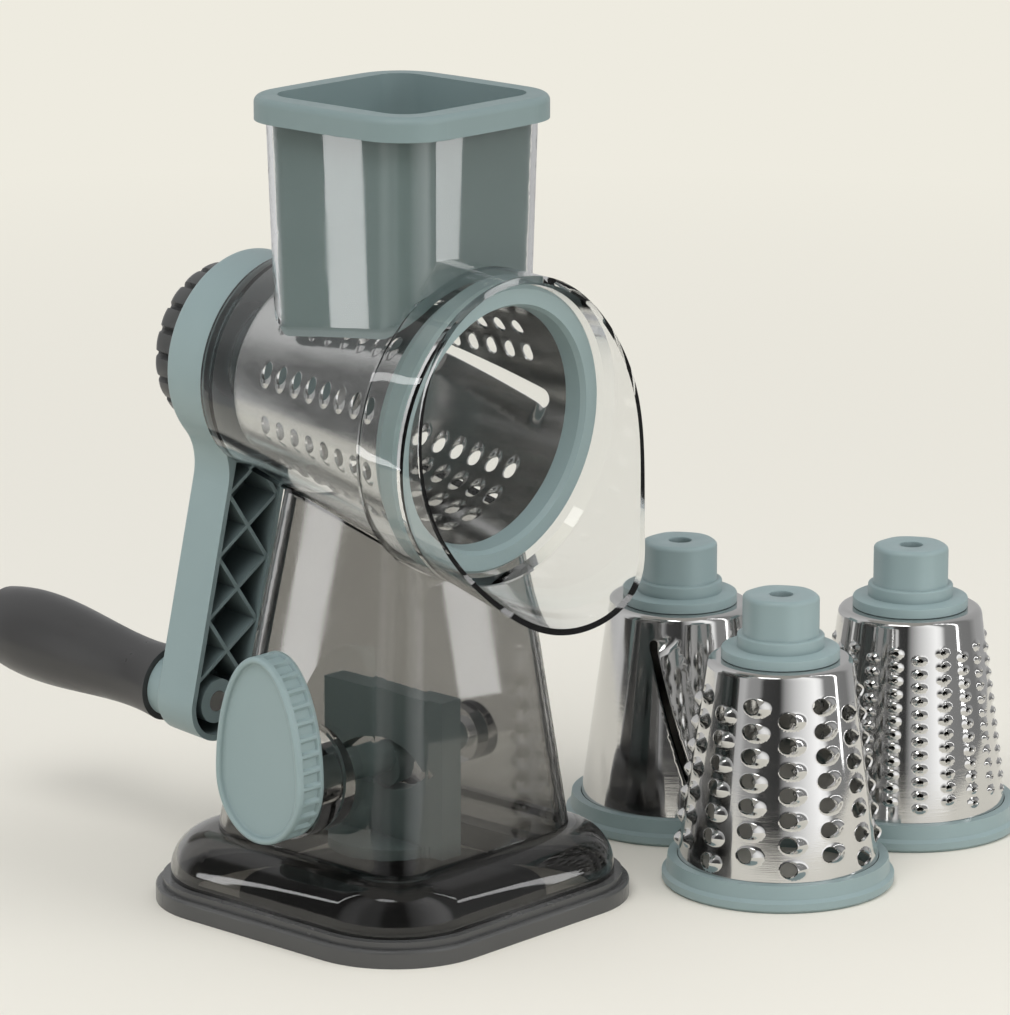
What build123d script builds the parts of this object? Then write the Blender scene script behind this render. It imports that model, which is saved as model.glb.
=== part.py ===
from build123d import *
import math
import os

# Rotary drum shredder for the worktop: a tilted clear barrel on a smoky pedestal,
# a crank behind it, a food chute above it and three spare drums beside it.
# Row frame: +Z up, millimetres, origin at the middle of the base on the table.
# The spout faces -Y, the crank is at +Y and the suction lever is on the -X side.

# ---- Barrel axis -------------------------------------------------------------
AXIS_HEIGHT = 188.6      # barrel axis above the table, over the origin
TILT = 4.7               # degrees that the axis dips towards the spout
CRANK_REST = 9.3         # degrees that the hanging crank leans to the -X side

# ---- Fits --------------------------------------------------------------------
RUN_FIT = 0.08           # radial play of a shaft that turns in its hole
SEAT_GAP = 0.3           # gap between loose faces that rest on each other
SHEET_PLAY = 0.05        # play between the sheet steel and its mouldings

# ---- Base and pedestal -------------------------------------------------------
RING_WIDTH = 146.0       # foot of the base ring, across the flats
RING_CORNER = 38.0
FOOT_HEIGHT = 6.5
LIP_INSET = 2.6          # upper step of the ring, inwards from the foot
LIP_HEIGHT = 2.5
FOOT_ROUND = 1.2
RING_WALL = 12.0
SKIRT_INSET = 5.6        # skirt wall, inwards from the foot
SKIRT_HEIGHT = 18.5
SKIRT_ROUND = 16.5       # radius that rolls the skirt over to the column
COLUMN_FLARE = 3.0       # foot of the column, wider than the flat top of the skirt
COLUMN_CORNER = 16.0
COLUMN_TOP_WIDTH = 65.0
COLUMN_TOP_HEIGHT = 160.0
COLUMN_TOP_CORNER = 12.0
COLUMN_LEAN = 5.0        # the column's top stands this far towards the spout
PEDESTAL_WALL = 2.6

# ---- Suction lock ------------------------------------------------------------
LOCK_HEIGHT = 54.5       # lever shaft above the table
LOCK_SHAFT_RADIUS = 6.0
BOSS_RADIUS = 20.0       # round boss that carries the lever
BOSS_LENGTH = 18.0
BOSS_INSET = 16.0        # from the base ring's side to the boss's outer face
BOSS_REACH = RING_WIDTH / 2 - BOSS_INSET    # its outer face from the middle of the base
SOCKET_RADIUS = 11.0     # blind socket on the far wall
SOCKET_INSET = 40.0      # from the base ring's side to the socket's mouth
SOCKET_REACH = RING_WIDTH / 2 - SOCKET_INSET    # its mouth from the middle of the base
SOCKET_DEPTH = 9.0
CAM_RADIUS = 8.5
CAM_THROW = 3.0          # the cam's centre from the shaft's
YOKE_THICKNESS = 10.0
YOKE_WIDTH = 57.0
YOKE_TOP = 79.5
WINDOW_WIDTH = 48.0
WINDOW_PLAY = 1.1        # above and below the cam
YOKE_FOOT_RADIUS = 23.0
YOKE_FOOT_HEIGHT = 4.0
CUP_RADIUS = 56.0
CUP_RIM = 2.4            # thickness of the rubber at its rim
CUP_RISE = 12.0          # height of its domed middle
CUP_STUB_RADIUS = 13.0
CUP_STUB_HEIGHT = 5.0
CUP_CLEARANCE = 0.3      # the rubber's rim above the table
CUP_CROWN_WALL = 3.4     # thickness of the rubber in the middle

# ---- Lever knob --------------------------------------------------------------
KNOB_HALF_WIDTH = 21.3
KNOB_RISE = 45.5         # narrow end above the knob's widest line
KNOB_DROP = 24.0         # wide end below it
KNOB_LINE = 4.7          # the widest line above the shaft
KNOB_DEPTH = 13.2
KNOB_LIP = 2.4
KNOB_EDGE = 1.0
KNOB_RECESS = 2.2
KNOB_FACE = 4.0          # solid in front of the shaft's blind bore
GRIP_NOTCHES = 11        # notches down each side of the knob
NOTCH_DEPTH = 1.0
NOTCH_WIDTH = 3.4
NOTCH_MARGIN = 2.4       # plain band before and behind the notches
NOTCH_START = -42.0      # first notch, as an angle round the outline
NOTCH_SWEEP = 108.0

# ---- Barrel housing ----------------------------------------------------------
# Stations run along the axis, forwards from the point over the origin.
BARREL_BACK_RADIUS = 40.7
COLLAR_START = 36.0
COLLAR_STEP = 1.5        # slope that leads up to the collar
BARREL_FRONT_RADIUS = 53.7
COLLAR_RADIUS = 56.5
HOOD_START = 60.0
HOOD_START_RADIUS = 57.2
HOOD_END = 101.0
HOOD_END_RADIUS = 63.8
BARREL_WALL = 2.2
HOOD_WALL = 2.0
REAR_WALL = 2.6
REAR_CUP = 6.1           # depth of the barrel's back, from the rear wall's front face
ROOM_PLAY = 0.8          # room round the drum's ring
ROOM_FLARE = 4.0         # length over which the room opens into the hood
BEARING_LENGTH = 9.0
BEARING_WALL = 2.6
CUTTER_REACH = 90.0      # how far the rim's cutter runs past the hood
# The oblique rim of the hood, seen from the side: (station, height above the axis)
HOOD_RIM = [(58.5, 66), (59.5, 46), (66.5, 13), (77.5, -26), (85.5, -40), (95.5, -53.5), (99.5, -68)]

# ---- Chute and pusher --------------------------------------------------------
CHUTE_OFFSET = 6.5       # chute's middle, towards the spout
CHUTE_TOP = 290.9
CHUTE_TOP_WIDTH = 77.4
CHUTE_CORNER = 15.0
CHUTE_TAPER = 0.0466     # width lost for each millimetre down
CHUTE_WALL = 2.0
CHUTE_ROOT = AXIS_HEIGHT + 8.0   # where the chute and the pusher start, inside the barrel
PUSHER_PLAY = 0.45       # each side, in the chute
PUSHER_WALL = 2.0
PUSHER_STANDOFF = 3.6    # pusher's curved floor, above the drum
RIM_WIDTH = 85.0
RIM_BULGE = 1.4          # the rim's sides swell outwards
RIM_CORNER = 21.0
RIM_HEIGHT = 8.8
RIM_EDGE = 2.6

# ---- Drums -------------------------------------------------------------------
SHEET = 0.8
DRUM_FRONT = 54.0        # station of the installed drum's front face
HUB_FLANGE_RADIUS = 22.0
HUB_FLANGE = 4.0
HUB_STEP_RADIUS = 16.2
HUB_STEP = 5.0
HUB_EDGE = 0.8
HUB_SEAT = 4.0           # overlap of the flange on the sheet round its eye
WASHER = 3.0             # washer that holds the sheet from inside
DRIVE_RADIUS = 14.4      # drive boss, over its rounded corners
DRIVE_FLATS = 13.7       # and to its six flats
DRIVE_LENGTH = 15.0
DRIVE_PLAY = 0.2
DRIVE_ROUND = 1.6
DRIVE_END_GAP = 0.9      # behind the boss, in the crank's socket
STUD_RADIUS = 4.0
STUD_PLAY = 0.3
FLANGE_GAP = 0.4         # between the hub's flange and the barrel's rear wall
CRANK_GAP = 1.1          # between the barrel and the crank
# Installed drum: outer radii of the cone, its length and its ring
DRUM_SMALL_RADIUS = 34.5
DRUM_BIG_RADIUS = 45.6
DRUM_LENGTH = 100.0
DRUM_RING_RADIUS = 52.8
DRUM_RING_HEIGHT = 12.0
RING_GRIP = 4.0          # length of sheet held in the ring
RING_LAP = 1.6           # lip of the ring above the sheet's foot
RING_EDGE = 1.2
RING_NECK = 2.2          # thickness of that lip's root
RING_BEVEL = 1.5
# Spare drums
SPARE_SMALL_RADIUS = 27.2
SPARE_BIG_RADIUS = 38.9
SPARE_LENGTH = 86.0
SPARE_RING_RADIUS = 43.3
SPARE_RING_HEIGHT = 8.5
SHOULDER = 3.0           # radius that rolls the sheet in at the small end
SPARES = {               # where the spare drums stand on the table
    "slicer_drum": (146.5, -13.2),
    "coarse_drum": (109.9, -93.6),
    "fine_drum": (200.5, -83.0),
}
# Stations that follow from the drum's length
REAR_WALL_FRONT = DRUM_FRONT - DRUM_LENGTH - HUB_FLANGE - FLANGE_GAP
BARREL_BACK = REAR_WALL_FRONT - REAR_CUP
HUB_FRONT = BARREL_BACK - CRANK_GAP      # front face of the crank's hub

# ---- Slicing slot ------------------------------------------------------------
SLOT_WIDTH = 8.4
# (distance from the front face, angle from the top, positive to the +X side)
SLOT_ENDS = [(19.0, 91.5), (66.0, 77.5)]

# ---- Crank -------------------------------------------------------------------
CRANK_REACH = 130.5      # grip's centre from the barrel axis
CRANK_TUBE_WALL = 3.9    # journal round the drive socket
CRANK_TUBE_GAP = 2.3     # between the journal's end and the rear wall
CRANK_EDGE = 2.0
HUB_DEPTH = 19.4
HUB_RADIUS = 38.5
HUB_BACK_WALL = 3.0
HUB_WALL = 2.5
ARM_HALF_WIDTH = 15.0
ARM_WALL = 2.2
NECK_ROUND = 22.0
RIB = 1.5
RIB_PITCH = 24.0
RIB_FIRST = 62.9         # first rib crossing from the barrel axis
RIB_SET_BACK = 1.0
PIN_RADIUS = 4.0
PIN_BOSS_RADIUS = 8.5
PIN_SET_BACK = 1.6       # the pin's end behind the arm's open face
COLLAR_LENGTH = 7.5
COLLAR_BOSS_RADIUS = 12.0
GRIP_LENGTH = 96.0
GRIP_NECK_RADIUS = 14.3
GRIP_WAIST_RADIUS = 14.4
GRIP_BULB_RADIUS = 16.7
GRIP_WAIST = 34.0        # the waist from the grip's inner end
GRIP_END_WALL = 6.0
LOCK_KNOB_RADIUS = 31.0
LOCK_KNOB_DEPTH = 14.6
LOCK_KNOB_LOBES = 30
LOCK_KNOB_EDGE = 2.2
LOCK_KNOB_RIM = 7.0      # raised rim round the knob's sunk face
LOBE_RADIUS = 2.0
STUD_LENGTH = 17.5       # stud in front of the knob


# ---- Frames ------------------------------------------------------------------
def along_barrel():
    """Local X is +X, local Y is up across the axis, local Z runs forwards."""
    dip = math.radians(TILT)
    forwards = (0, -math.cos(dip), -math.sin(dip))
    return Plane(origin=(0, 0, AXIS_HEIGHT), x_dir=(1, 0, 0), z_dir=forwards).location


BARREL = along_barrel()
CRANK = BARREL * Rot(0, 0, -CRANK_REST)
# The installed drum's own frame: its front face at z = 0, local Z towards the crank
DRUM = BARREL * Pos(0, 0, DRUM_FRONT) * Rot(180, 0, 0)


# ---- Helpers -----------------------------------------------------------------
def turned(*points):
    """A solid turned about Z from (radius, height) points."""
    return revolve(Plane.XZ * Polygon(*points, align=None), Axis.Z)


def rod(radius, low, high):
    return Pos(0, 0, low) * extrude(Circle(radius), high - low)


def tower(low, high, low_width, high_width, low_corner, high_corner, low_y=0.0, high_y=0.0):
    """A tapering tower of rounded square section."""
    foot = Pos(0, low_y, low) * RectangleRounded(low_width, low_width, low_corner)
    head = Pos(0, high_y, high) * RectangleRounded(high_width, high_width, high_corner)
    return loft([foot.face(), head.face()], ruled=True)


def hexagon(flats, corner_radius):
    """A hexagon whose corners are cut back to a circle."""
    return RegularPolygon(flats, 6, major_radius=False) & Circle(corner_radius)


def save(node, shape):
    export_step(shape, f"parts/{node}.step")


# ---- Base and pedestal -------------------------------------------------------
def base_ring():
    inner_width = RING_WIDTH - 2 * RING_WALL
    lip_width = RING_WIDTH - 2 * LIP_INSET
    foot = extrude(RectangleRounded(RING_WIDTH, RING_WIDTH, RING_CORNER), FOOT_HEIGHT)
    foot = fillet(foot.edges().group_by(Axis.Z)[-1], FOOT_ROUND)
    lip = extrude(RectangleRounded(lip_width, lip_width, RING_CORNER - LIP_INSET), FOOT_HEIGHT + LIP_HEIGHT)
    hole = extrude(RectangleRounded(inner_width, inner_width, RING_CORNER - RING_WALL), 3 * FOOT_HEIGHT)
    return foot + lip - hole


def skirt(inset):
    """The rolled-over skirt, taken in by inset all round."""
    base = FOOT_HEIGHT + LIP_HEIGHT
    width = RING_WIDTH - 2 * SKIRT_INSET - 2 * inset
    block = Pos(0, 0, base) * extrude(
        RectangleRounded(width, width, RING_CORNER - SKIRT_INSET - inset), SKIRT_HEIGHT - inset)
    return fillet(block.edges().group_by(Axis.Z)[-1], SKIRT_ROUND - inset)


def column(inset):
    """The column, taken in by inset all round, up into the barrel."""
    low = FOOT_HEIGHT + LIP_HEIGHT + SKIRT_HEIGHT - SKIRT_ROUND
    skirt_top = RING_WIDTH - 2 * SKIRT_INSET - 2 * SKIRT_ROUND
    rise = COLUMN_TOP_HEIGHT - low
    return tower(low, low + rise, skirt_top + COLUMN_FLARE - 2 * inset, COLUMN_TOP_WIDTH - 2 * inset,
                 COLUMN_CORNER - inset, COLUMN_TOP_CORNER - inset, 0, -COLUMN_LEAN)


def across(x_low, x_high, radius, height=LOCK_HEIGHT):
    """A round bar along X at the lever shaft's height."""
    return Pos(x_low, 0, height) * Rot(0, 90, 0) * extrude(Circle(radius), x_high - x_low)


def pedestal():
    outer = skirt(0) + column(0)
    hollow = skirt(PEDESTAL_WALL) + column(PEDESTAL_WALL)
    bore = LOCK_SHAFT_RADIUS + RUN_FIT
    boss = across(-BOSS_REACH, -BOSS_REACH + BOSS_LENGTH, BOSS_RADIUS)
    socket = across(SOCKET_REACH, BOSS_REACH, SOCKET_RADIUS) & column(PEDESTAL_WALL / 2)
    body = outer - hollow + boss + socket
    body -= across(-BOSS_REACH - 1, 0, bore)
    body -= across(0, SOCKET_REACH + SOCKET_DEPTH, bore)
    return body - BARREL * barrel_outside(SEAT_GAP)


# ---- Suction lock ------------------------------------------------------------
def lock_shaft():
    end = SOCKET_REACH + SOCKET_DEPTH - SEAT_GAP
    return across(-BOSS_REACH - KNOB_DEPTH + KNOB_FACE, end, LOCK_SHAFT_RADIUS)


def lock_cam():
    half = YOKE_THICKNESS / 2
    disc = across(-half, half, CAM_RADIUS, LOCK_HEIGHT - CAM_THROW)
    return disc - across(-half - 1, half + 1, LOCK_SHAFT_RADIUS + SHEET_PLAY)


def egg(half_width, rise, drop):
    """The knob's outline: a long half ellipse over a short one."""
    top = EllipticalCenterArc((0, 0), half_width, rise, 0, arc_size=180)
    low = EllipticalCenterArc((0, 0), half_width, drop, 180, arc_size=180)
    return make_face(top + low)


def suction_knob():
    """Drawn in local X and Y, then stood up on the -X side, its face outwards."""
    body = extrude(egg(KNOB_HALF_WIDTH, KNOB_RISE, KNOB_DROP), KNOB_DEPTH)
    body = fillet(body.edges().group_by(Axis.Z)[-1], KNOB_EDGE)
    inner = egg(KNOB_HALF_WIDTH - KNOB_LIP, KNOB_RISE - KNOB_LIP, KNOB_DROP - KNOB_LIP)
    body -= Pos(0, 0, KNOB_DEPTH - KNOB_RECESS) * extrude(inner, 2 * KNOB_RECESS)
    for side in (-1, 1):
        for index in range(GRIP_NOTCHES):
            body -= knob_notch(side, index)
    body -= Pos(0, -KNOB_LINE, 0) * rod(LOCK_SHAFT_RADIUS + SHEET_PLAY, -1, KNOB_DEPTH - KNOB_FACE)
    back = (-BOSS_REACH - SEAT_GAP, 0, LOCK_HEIGHT + KNOB_LINE)
    return Plane(origin=back, x_dir=(0, -1, 0), z_dir=(-1, 0, 0)).location * body


def knob_notch(side, index):
    """One notch in the knob's side wall, square to the outline."""
    share = index / (GRIP_NOTCHES - 1)
    angle = math.radians(NOTCH_START + share * NOTCH_SWEEP)
    rise = KNOB_RISE if angle > 0 else KNOB_DROP
    x = side * KNOB_HALF_WIDTH * math.cos(angle)
    y = rise * math.sin(angle)
    normal = math.degrees(math.atan2(y / rise ** 2, x / KNOB_HALF_WIDTH ** 2))
    block = Pos(0, 0, KNOB_DEPTH / 2) * Box(2 * NOTCH_DEPTH, NOTCH_WIDTH, KNOB_DEPTH - 2 * NOTCH_MARGIN)
    return Pos(x, y, 0) * Rot(0, 0, normal) * block


def yoke():
    """The lifting plate with its lens-shaped cam window and round foot."""
    foot_low = cup_top() + SEAT_GAP
    height = YOKE_TOP - foot_low
    plate = Pos(0, 0, foot_low + height / 2) * Box(YOKE_THICKNESS, YOKE_WIDTH, height)
    foot = rod(YOKE_FOOT_RADIUS, foot_low, foot_low + YOKE_FOOT_HEIGHT)
    half_height = CAM_RADIUS + WINDOW_PLAY
    half_width = WINDOW_WIDTH / 2
    arc_radius = (half_width ** 2 + half_height ** 2) / (2 * half_height)
    drop = arc_radius - half_height
    lens = (Pos(0, drop) * Circle(arc_radius)) & (Pos(0, -drop) * Circle(arc_radius))
    middle = LOCK_HEIGHT - CAM_THROW
    window = Plane.YZ.location * Pos(0, middle, -YOKE_THICKNESS) * extrude(lens, 2 * YOKE_THICKNESS)
    return plate + foot - window


def cup_top():
    return CUP_CLEARANCE + CUP_RIM + CUP_RISE + CUP_STUB_HEIGHT


def suction_cup():
    low = CUP_CLEARANCE
    rim = low + CUP_RIM
    crown = rim + CUP_RISE
    top = cup_top()
    under = crown - CUP_CROWN_WALL
    return turned((0, under), (CUP_RADIUS * 0.35, under - CUP_RISE / 16),
                  (CUP_RADIUS * 0.72, low + CUP_RISE / 4), (CUP_RADIUS * 0.9, low), (CUP_RADIUS, low),
                  (CUP_RADIUS, rim), (CUP_RADIUS * 0.82, rim + CUP_RISE / 16),
                  (CUP_RADIUS * 0.45, crown - CUP_RISE / 10), (CUP_STUB_RADIUS, crown),
                  (CUP_STUB_RADIUS, top), (0, top))


# ---- Barrel housing ----------------------------------------------------------
def barrel_outside(gap=0.0):
    """Barrel, collar and hood as one turned form, thickened by gap."""
    return turned((0, BARREL_BACK - gap), (BARREL_BACK_RADIUS + gap, BARREL_BACK - gap),
                  (BARREL_FRONT_RADIUS + gap, COLLAR_START - gap),
                  (COLLAR_RADIUS + gap, COLLAR_START + COLLAR_STEP - gap),
                  (HOOD_START_RADIUS + gap, HOOD_START), (HOOD_END_RADIUS + gap, HOOD_END),
                  (0, HOOD_END))


def barrel_inside():
    """The drum's room, from the rear wall out through the hood."""
    slope = (BARREL_FRONT_RADIUS - BARREL_BACK_RADIUS) / (COLLAR_START - BARREL_BACK)
    wall_radius = BARREL_BACK_RADIUS - BARREL_WALL + slope * (REAR_WALL_FRONT - BARREL_BACK)
    room = DRUM_RING_RADIUS + ROOM_PLAY
    return turned((0, REAR_WALL_FRONT), (wall_radius, REAR_WALL_FRONT),
                  (BARREL_FRONT_RADIUS - BARREL_WALL, COLLAR_START), (room, COLLAR_START + COLLAR_STEP),
                  (room, HOOD_START - ROOM_FLARE), (HOOD_START_RADIUS - HOOD_WALL, HOOD_START),
                  (HOOD_END_RADIUS - HOOD_WALL, HOOD_END + 1), (0, HOOD_END + 1))


def chute_tower(inset, low, high):
    """The chute's outline between two heights, taken in by inset."""
    low_width = CHUTE_TOP_WIDTH - (CHUTE_TOP - low) * CHUTE_TAPER - 2 * inset
    high_width = CHUTE_TOP_WIDTH - (CHUTE_TOP - high) * CHUTE_TAPER - 2 * inset
    corner = CHUTE_CORNER - inset
    return tower(low, high, low_width, high_width, corner, corner, -CHUTE_OFFSET, -CHUTE_OFFSET)


def hood_cutter():
    """Everything in front of the hood's oblique rim."""
    far = HOOD_END + CUTTER_REACH
    rim = Spline(*HOOD_RIM)
    first, last = HOOD_RIM[0], HOOD_RIM[-1]
    edges = rim + Polyline(last, (last[0], -CUTTER_REACH), (far, -CUTTER_REACH), (far, CUTTER_REACH),
                           (first[0], CUTTER_REACH), first)
    # drawn with the station along X and the height along Y, then stood in the barrel's frame
    side = Plane(origin=(0, 0, 0), x_dir=(0, 0, 1), z_dir=(-1, 0, 0)).location
    return side * Pos(0, 0, -CUTTER_REACH) * extrude(make_face(edges), 2 * CUTTER_REACH)


def barrel_housing():
    shell = BARREL * barrel_outside() + chute_tower(0, CHUTE_ROOT, CHUTE_TOP)
    shell -= BARREL * barrel_inside()
    shell -= chute_tower(CHUTE_WALL, CHUTE_ROOT - 2, CHUTE_TOP + 1)
    # the shallow cup behind the rear wall, with the bearing that the crank turns in
    bearing = crank_tube_radius() + RUN_FIT
    back = REAR_WALL_FRONT - REAR_WALL
    recess = turned((bearing + BEARING_WALL, BARREL_BACK - 1),
                    (BARREL_BACK_RADIUS - BARREL_WALL, BARREL_BACK - 1),
                    (BARREL_BACK_RADIUS - BARREL_WALL, back), (bearing + BEARING_WALL, back))
    sleeve = rod(bearing + BEARING_WALL, back - BEARING_LENGTH, back)
    bore = rod(bearing, back - BEARING_LENGTH - 1, REAR_WALL_FRONT + 1)
    return shell - BARREL * recess + BARREL * sleeve - BARREL * bore - BARREL * hood_cutter()


def crank_tube_radius():
    return DRIVE_RADIUS + DRIVE_PLAY + CRANK_TUBE_WALL


# ---- Pusher ------------------------------------------------------------------
def drum_cone(standoff):
    """The installed drum's outside, thickened by standoff, for the pusher's floor."""
    back = DRUM_FRONT - DRUM_LENGTH
    slope = (DRUM_BIG_RADIUS - DRUM_SMALL_RADIUS) / (DRUM_LENGTH - DRUM_RING_HEIGHT)
    low, high = back - 30, DRUM_FRONT + 20
    return BARREL * turned((0, low), (DRUM_SMALL_RADIUS + standoff - 30 * slope, low),
                           (DRUM_SMALL_RADIUS + standoff + slope * (high - back), high), (0, high))


def pusher_rim(width, bulge, corner):
    """A square with swelling sides and round corners."""
    half = width / 2
    out = half + bulge
    sides = ThreePointArc((-half, -half), (0, -out), (half, -half))
    sides += ThreePointArc((half, -half), (out, 0), (half, half))
    sides += ThreePointArc((half, half), (0, out), (-half, half))
    sides += ThreePointArc((-half, half), (-out, 0), (-half, -half))
    face = make_face(sides)
    return fillet(face.vertices(), corner)


def food_pusher():
    rim_low = CHUTE_TOP + SEAT_GAP
    inset = CHUTE_WALL + PUSHER_PLAY
    body = chute_tower(inset, CHUTE_ROOT, rim_low + 1) - drum_cone(PUSHER_STANDOFF)
    rim = Pos(0, -CHUTE_OFFSET, rim_low) * extrude(pusher_rim(RIM_WIDTH, RIM_BULGE, RIM_CORNER), RIM_HEIGHT)
    rim = fillet(rim.edges().group_by(Axis.Z)[-1], RIM_EDGE)
    hollow = chute_tower(inset + PUSHER_WALL, CHUTE_ROOT, rim_low + RIM_HEIGHT + 1)
    hollow -= drum_cone(PUSHER_STANDOFF + PUSHER_WALL)
    return body + rim - hollow


# ---- Drums -------------------------------------------------------------------
# Each drum is drawn with its front ring on z = 0 and its drive boss upwards.
def drum_ring(big_radius, ring_radius, ring_height, slope):
    """The moulded front ring that grips the wide end of the sheet."""
    foot = ring_height - RING_GRIP
    seat = big_radius - slope * foot
    inner = big_radius - SHEET
    shoulder = foot + RING_EDGE - RING_BEVEL / 2
    return turned((inner + RING_EDGE, 0), (ring_radius - RING_EDGE, 0), (ring_radius, RING_EDGE),
                  (ring_radius, shoulder - RING_EDGE), (ring_radius - RING_BEVEL, shoulder),
                  (big_radius + RING_NECK, ring_height + RING_LAP),
                  (seat + SHEET_PLAY - slope * RING_GRIP, ring_height + RING_LAP),
                  (seat + SHEET_PLAY + slope * RING_LAP, foot), (seat - SHEET, foot), (inner, 2.0))


def drum_sheet(small_radius, big_radius, length, ring_height):
    """The conical sheet with its rolled-in shoulder, without holes."""
    low = ring_height - RING_GRIP + SHEET_PLAY
    slope = (big_radius - small_radius) / (length - ring_height)
    foot = big_radius - slope * low
    outside = turned((0, low), (foot, low), (small_radius, length), (0, length))
    outside = fillet(outside.edges().group_by(Axis.Z)[-1], SHOULDER)
    inside = turned((0, low - 1), (foot - SHEET + slope, low - 1),
                    (small_radius - SHEET, length - SHEET), (0, length - SHEET))
    inside = fillet(inside.edges().group_by(Axis.Z)[-1], SHOULDER - SHEET)
    eye = rod(HUB_FLANGE_RADIUS - HUB_SEAT + SHEET_PLAY, length - 5, length + 1)
    return outside - inside - eye


def drum_hub(small_radius, length):
    """Flange, journal and drive boss, with the inner washer that holds the sheet."""
    neck = HUB_FLANGE_RADIUS - HUB_SEAT
    washer = min(small_radius - SHEET - SHOULDER, HUB_FLANGE_RADIUS)
    under = length - SHEET - SHEET_PLAY
    over = length + SHEET_PLAY
    flange = length + HUB_FLANGE
    step = flange + HUB_STEP
    hub = turned((0, under - WASHER), (washer, under - WASHER), (washer, under), (neck, under),
                 (neck, over), (HUB_FLANGE_RADIUS, over), (HUB_FLANGE_RADIUS, flange - HUB_EDGE),
                 (HUB_FLANGE_RADIUS - HUB_EDGE, flange), (HUB_STEP_RADIUS, flange),
                 (HUB_STEP_RADIUS, step), (0, step))
    boss = extrude(hexagon(DRIVE_FLATS, DRIVE_RADIUS), DRIVE_LENGTH)
    boss = chamfer(boss.edges().group_by(Axis.Z)[-1], DRIVE_ROUND)
    hub += Pos(0, 0, step) * boss
    return hub - rod(STUD_RADIUS + STUD_PLAY, step + 1.0, step + DRIVE_LENGTH + 1)


def cone_radius(height, small_radius, big_radius, length, ring_height):
    slope = (big_radius - small_radius) / (length - ring_height)
    return big_radius - slope * height


def shredder_sheet():
    """The installed drum's sheet with its slicing slot."""
    sheet = drum_sheet(DRUM_SMALL_RADIUS, DRUM_BIG_RADIUS, DRUM_LENGTH, DRUM_RING_HEIGHT)
    return sheet - slicing_slot()


def slicing_slot():
    """A round-ended slanting slot through one side of the sheet."""
    (low, low_angle), (high, high_angle) = SLOT_ENDS
    middle = (low + high) / 2
    reach = cone_radius(middle, DRUM_SMALL_RADIUS, DRUM_BIG_RADIUS, DRUM_LENGTH, DRUM_RING_HEIGHT)
    swing = math.radians(high_angle - low_angle) * reach
    rise = high - low
    span = math.hypot(rise, swing)
    slot = Rot(0, 0, math.degrees(math.atan2(rise, swing))) * SlotCenterToCenter(span, SLOT_WIDTH)
    bar = Plane.YZ.location * Pos(0, middle, reach - 8) * extrude(slot, 16)
    return Rot(0, 0, (low_angle + high_angle) / 2 - 90) * bar


# ---- Crank -------------------------------------------------------------------
def arm_outline(inset):
    half = ARM_HALF_WIDTH - inset
    bar = Pos(0, -CRANK_REACH / 2) * Rectangle(2 * half, CRANK_REACH)
    return bar + Pos(0, -CRANK_REACH) * Circle(half)


def crank_arm():
    back = HUB_FRONT - HUB_DEPTH
    floor = back + HUB_BACK_WALL
    outline = Circle(HUB_RADIUS) + arm_outline(0)
    necks = outline.vertices().filter_by(lambda v: -HUB_RADIUS < v.Y < -1 and abs(v.X) > 1)
    outline = fillet(necks, NECK_ROUND)
    body = Pos(0, 0, back) * extrude(outline, HUB_DEPTH)
    body = fillet(body.edges().group_by(Axis.Z)[0], CRANK_EDGE)
    channel = Pos(0, 0, floor) * extrude(arm_outline(ARM_WALL) - Circle(HUB_RADIUS), HUB_DEPTH)
    body -= channel
    tube = crank_tube_radius()
    body -= turned((tube, floor), (HUB_RADIUS - HUB_WALL, floor),
                   (HUB_RADIUS - HUB_WALL, HUB_FRONT + 1), (tube, HUB_FRONT + 1))
    body += rod(tube, floor, REAR_WALL_FRONT - REAR_WALL - CRANK_TUBE_GAP)
    body += crank_lattice(floor)
    pin_seat = Pos(0, -CRANK_REACH, 0)
    body += pin_seat * rod(PIN_BOSS_RADIUS, floor - 1, HUB_FRONT - PIN_SET_BACK)
    body += pin_seat * rod(COLLAR_BOSS_RADIUS, back - COLLAR_LENGTH, back + 1)
    body -= pin_seat * rod(PIN_RADIUS + SHEET_PLAY, back - COLLAR_LENGTH - 1, HUB_FRONT + 1)
    drive_floor = DRUM_FRONT - DRUM_LENGTH - HUB_FLANGE - HUB_STEP - DRIVE_LENGTH - DRIVE_END_GAP
    # the drive flats lie level while the crank hangs at its rest angle
    socket = Pos(0, 0, drive_floor) * Rot(0, 0, CRANK_REST) * extrude(
        hexagon(DRIVE_FLATS + DRIVE_PLAY, DRIVE_RADIUS + DRIVE_PLAY), 40)
    body -= socket
    return CRANK * (body - rod(STUD_RADIUS + STUD_PLAY, back - 1, HUB_FRONT))


def crank_lattice(floor):
    """Thin crossed ribs along the arm's channel."""
    half = ARM_HALF_WIDTH - ARM_WALL
    tall = HUB_DEPTH - HUB_BACK_WALL - RIB_SET_BACK
    length = math.hypot(2 * half, RIB_PITCH)
    lean = math.degrees(math.atan2(RIB_PITCH, 2 * half))
    field = extrude(arm_outline(ARM_WALL / 2) - Circle(HUB_RADIUS - 0.5), tall)
    ribs = []
    for index in range(-1, 3):
        centre = RIB_FIRST + index * RIB_PITCH
        for side in (-1, 1):
            rib = Rot(0, 0, side * lean) * Box(length + 2 * ARM_WALL, RIB, tall)
            ribs.append(Pos(0, -centre, tall / 2) * rib & field)
    return Pos(0, 0, floor) * join(ribs)


def join(shapes):
    whole = shapes[0]
    for shape in shapes[1:]:
        whole += shape
    return whole


def handle_pin():
    back = HUB_FRONT - HUB_DEPTH
    low = back - COLLAR_LENGTH - GRIP_LENGTH + GRIP_END_WALL
    return CRANK * Pos(0, -CRANK_REACH, 0) * rod(PIN_RADIUS, low, HUB_FRONT - PIN_SET_BACK)


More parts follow.
